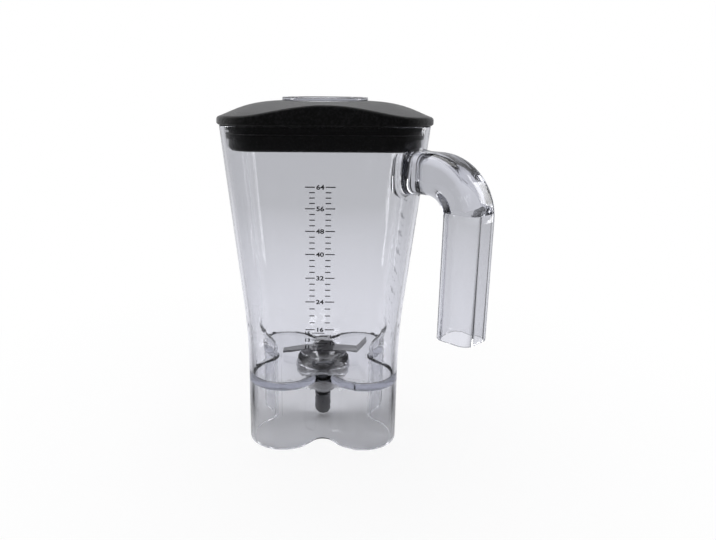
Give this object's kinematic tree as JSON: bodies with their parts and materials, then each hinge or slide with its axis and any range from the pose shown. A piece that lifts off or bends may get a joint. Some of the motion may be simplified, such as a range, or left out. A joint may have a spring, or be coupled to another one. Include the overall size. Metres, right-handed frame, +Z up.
{
  "type": "blender jar",
  "caption": "Clear square blender jar with a lobed skirt, a hollow corner handle, a rubber lid with a filler cap, and a bladed drive on ball bearings in its floor.",
  "frame": {"origin": "on the blade axis, in the plane that the skirt stands on", "axes": "+Z up along the blade axis; -Y is the face with the printed scale; the handle is at the +X -Y corner"},
  "size_m": [0.1818, 0.1818, 0.2607],
  "materials": {
    "clear_plastic": "clear gloss",
    "black_rubber": "fine matt grain",
    "seal_rubber": "smooth matt",
    "blade_steel": "ground",
    "turned_steel": "turned bright",
    "bearing_steel": "polished",
    "coupling_steel": "cast and machined"
  },
  "bodies": {
    "jar": {"jar": "clear_plastic", "bearing_housing": "turned_steel", "housing_gasket": "seal_rubber", "housing_washer": "turned_steel", "retaining_nut": "turned_steel", "shaft_seal": "seal_rubber", "retaining_ring": "turned_steel", "outer_race_spacer": "turned_steel", "upper_bearing_outer_race": "bearing_steel", "upper_bearing_balls": "bearing_steel", "upper_bearing_cage": "bearing_steel", "lower_bearing_outer_race": "bearing_steel", "lower_bearing_balls": "bearing_steel", "lower_bearing_cage": "bearing_steel"},
    "blade_rotor": {"drive_shaft": "turned_steel", "upper_blade": "blade_steel", "lower_blade": "blade_steel", "blade_spacer": "turned_steel", "lock_washer": "turned_steel", "blade_nut": "turned_steel", "inner_race_spacer": "turned_steel", "drive_coupling": "coupling_steel", "coupling_pin": "coupling_steel", "upper_bearing_inner_race": "bearing_steel", "lower_bearing_inner_race": "bearing_steel"},
    "lid": {"lid": "black_rubber"},
    "cap": {"lid_cap": "clear_plastic"}
  },
  "joints": [
    {"name": "blade_spin", "type": "hinge", "parent": "jar", "child": "blade_rotor", "pos_m": [0, 0, 0.06], "axis": [0, 0, 1], "continuous": true},
    {"name": "lid_lift", "type": "slide", "parent": "jar", "child": "lid", "axis": [0, 0, 1], "range_m": [0, 0.06]},
    {"name": "cap_lift", "type": "slide", "parent": "lid", "child": "cap", "axis": [0, 0, 1], "range_m": [0, 0.035]}
  ]
}
